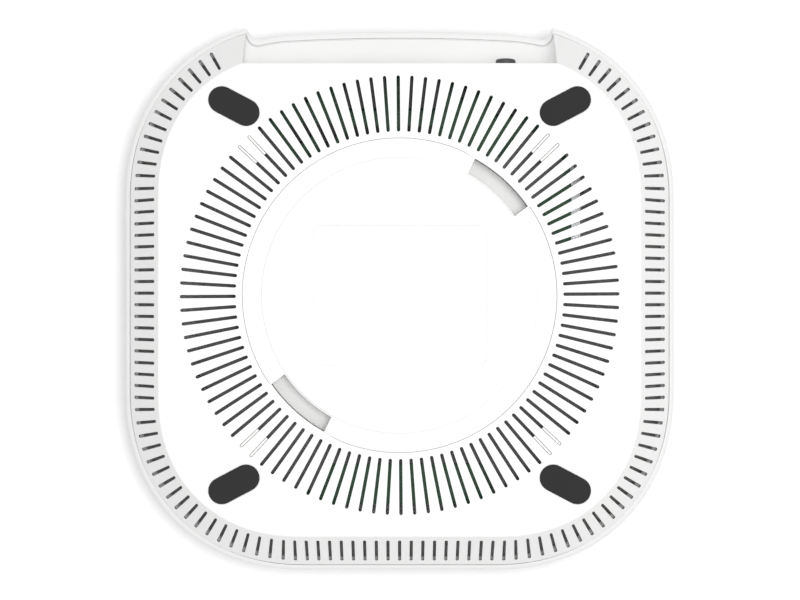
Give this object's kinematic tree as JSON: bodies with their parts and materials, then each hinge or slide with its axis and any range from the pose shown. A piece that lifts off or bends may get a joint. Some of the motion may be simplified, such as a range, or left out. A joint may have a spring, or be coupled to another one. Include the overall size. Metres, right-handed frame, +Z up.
{
  "type": "ceiling access point",
  "caption": "Square ceiling access point with soft corners, a slotted ceiling face with a bayonet track, rubber feet and a port bay cut into one side.",
  "frame": {"origin": "centre of the ceiling face, on the label that lies flush in it", "axes": "+Z up to the ceiling, out of the face that carries the feet, vent ring and bayonet track; +Y out of the port bay; the front cover faces -Z into the room"},
  "size_m": [0.226, 0.2229, 0.0535],
  "materials": {
    "white_shell": "fine satin moulding texture",
    "label_film": "satin printed film",
    "dark_rubber": "matte",
    "steel": "zinc plated",
    "dark_aluminium": "black anodised",
    "green_board": "solder mask",
    "bare_aluminium": "plain rolled",
    "tinned_steel": "bright tin plate",
    "gap_pad": "soft silicone",
    "clear_plastic": "clear moulding",
    "black_plastic": "matte",
    "dark_button": "fine texture",
    "gold_plate": "gold plated"
  },
  "bodies": {
    "access_point": {"antenna_1": "tinned_steel", "antenna_2": "tinned_steel", "antenna_3": "tinned_steel", "antenna_4": "tinned_steel", "board_screw_1": "steel", "board_screw_2": "steel", "board_screw_3": "steel", "board_screw_4": "steel", "capacitor_1": "black_plastic", "capacitor_2": "black_plastic", "case_screw_1": "steel", "case_screw_2": "steel", "case_screw_3": "steel", "case_screw_4": "steel", "chassis_plate": "dark_aluminium", "dc_jack": "black_plastic", "foot_1": "dark_rubber", "foot_2": "dark_rubber", "foot_3": "dark_rubber", "foot_4": "dark_rubber", "front_cover": "white_shell", "lan_contacts_1": "gold_plate", "lan_contacts_2": "gold_plate", "lan_jack_1": "black_plastic", "lan_jack_2": "black_plastic", "lan_transformer_1": "black_plastic", "lan_transformer_2": "black_plastic", "light_pipe": "clear_plastic", "main_board": "green_board", "power_switch": "black_plastic", "rating_label": "label_film", "rear_housing": "white_shell", "reflector_plate": "bare_aluminium", "reset_switch": "black_plastic", "shield_processor": "tinned_steel", "shield_radio_high": "tinned_steel", "shield_radio_low": "tinned_steel", "status_led": "clear_plastic", "thermal_pad_processor": "gap_pad", "thermal_pad_radio_high": "gap_pad", "thermal_pad_radio_low": "gap_pad"},
    "power_button": {"power_button": "dark_button"},
    "reset_button": {"reset_button": "dark_button"}
  },
  "joints": [
    {"name": "power_press", "type": "slide", "parent": "access_point", "child": "power_button", "axis": [0, -1, 0], "range_m": [0, 0.0015], "stiffness_N_per_m": 900, "springref_m": -0.0005},
    {"name": "reset_press", "type": "slide", "parent": "access_point", "child": "reset_button", "axis": [0, -1, 0], "range_m": [0, 0.0005], "stiffness_N_per_m": 900, "springref_m": -0.0004}
  ]
}
